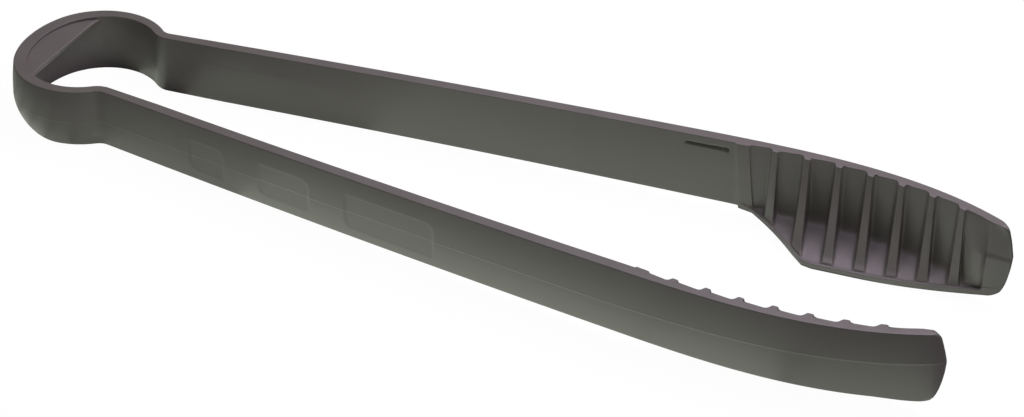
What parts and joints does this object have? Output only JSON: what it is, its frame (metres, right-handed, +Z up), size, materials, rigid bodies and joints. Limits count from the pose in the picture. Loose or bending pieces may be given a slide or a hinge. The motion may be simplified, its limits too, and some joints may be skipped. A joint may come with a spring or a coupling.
{
  "type": "barbecue tongs",
  "caption": "Moulded barbecue tongs: a sprung bow with a stiffening web, long flat arms with sunk grip panels, and ribbed scoops that close on each other when the arms are squeezed.",
  "frame": {"origin": "on the floor that the bow and the two heels stand on, under the middle of the length", "axes": "+X from the bow to the tips, +Y to the left arm's side, +Z up"},
  "size_m": [0.3531, 0.0932, 0.0316],
  "materials": {
    "moulding": "dark grey-brown moulded plastic, satin to matt, with a very fine texture"
  },
  "bodies": {
    "bow": {"bow_back": "moulding", "bow_web": "moulding"},
    "left_side_1": {"bow_side_left_1": "moulding"},
    "left_side_2": {"bow_side_left_2": "moulding"},
    "left_arm": {"arm_left": "moulding", "jaw_left": "moulding"},
    "right_side_1": {"bow_side_right_1": "moulding"},
    "right_side_2": {"bow_side_right_2": "moulding"},
    "right_arm": {"arm_right": "moulding", "jaw_right": "moulding"}
  },
  "joints": [
    {"name": "left_bend_1", "type": "hinge", "parent": "bow", "child": "left_side_1", "pos_m": [-0.1597, 0.02483, 0], "axis": [0, 0, -1], "range_deg": [0, 1.72], "stiffness_Nm_per_rad": 144},
    {"name": "left_bend_2", "type": "hinge", "parent": "left_side_1", "child": "left_side_2", "pos_m": [-0.14774, 0.02654, 0], "axis": [0, 0, -1], "range_deg": [0, 1.72]},
    {"name": "left_bend_3", "type": "hinge", "parent": "left_side_2", "child": "left_arm", "pos_m": [-0.13654, 0.02174, 0], "axis": [0, 0, -1], "range_deg": [0, 1.72]},
    {"name": "right_bend_1", "type": "hinge", "parent": "bow", "child": "right_side_1", "pos_m": [-0.1597, -0.02483, 0], "axis": [0, 0, 1], "range_deg": [0, 1.72]},
    {"name": "right_bend_2", "type": "hinge", "parent": "right_side_1", "child": "right_side_2", "pos_m": [-0.14774, -0.02654, 0], "axis": [0, 0, 1], "range_deg": [0, 1.72]},
    {"name": "right_bend_3", "type": "hinge", "parent": "right_side_2", "child": "right_arm", "pos_m": [-0.13654, -0.02174, 0], "axis": [0, 0, 1], "range_deg": [0, 1.72]}
  ],
  "couplings": [
    {"joint": "left_bend_2", "follows": "left_bend_1", "ratio": 1},
    {"joint": "left_bend_3", "follows": "left_bend_1", "ratio": 1},
    {"joint": "right_bend_1", "follows": "left_bend_1", "ratio": 1},
    {"joint": "right_bend_2", "follows": "left_bend_1", "ratio": 1},
    {"joint": "right_bend_3", "follows": "left_bend_1", "ratio": 1}
  ]
}
